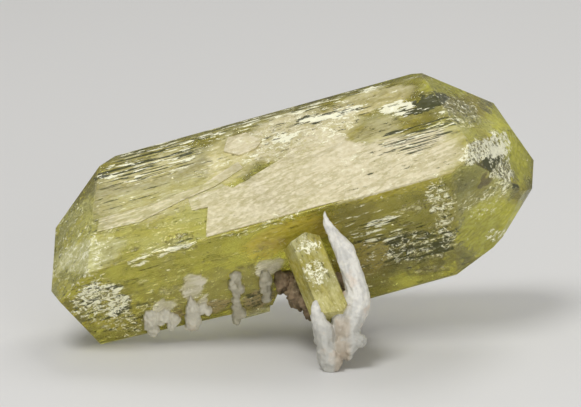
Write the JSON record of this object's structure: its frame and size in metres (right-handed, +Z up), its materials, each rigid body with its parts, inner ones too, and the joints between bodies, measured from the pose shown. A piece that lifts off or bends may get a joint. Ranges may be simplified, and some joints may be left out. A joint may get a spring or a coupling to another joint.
{
  "type": "brazilianite crystal specimen",
  "caption": "Long yellow brazilianite crystal with a small second crystal, white albite blades and knobs, and a matrix remnant, resting on its own feet.",
  "frame": {"origin": "middle of the specimen's extent, on the surface it rests on", "axes": "+X to the right along its length, +Y to the back, +Z up"},
  "size_m": [0.0772, 0.0426, 0.0415],
  "materials": {
    "clear_crystal": "glassy, striated lengthways, with milky veils and bright internal cracks",
    "albite": "pearly white, knobbly",
    "matrix": "dull, rough, pinkish brown"
  },
  "bodies": {
    "root": {"main_crystal": "clear_crystal", "small_crystal": "clear_crystal", "albite_blades": "albite", "albite_knob_left": "albite", "albite_knob_standing": "albite", "albite_knob_middle": "albite", "albite_knob_right": "albite", "matrix_remnant": "matrix"}
  },
  "joints": []
}
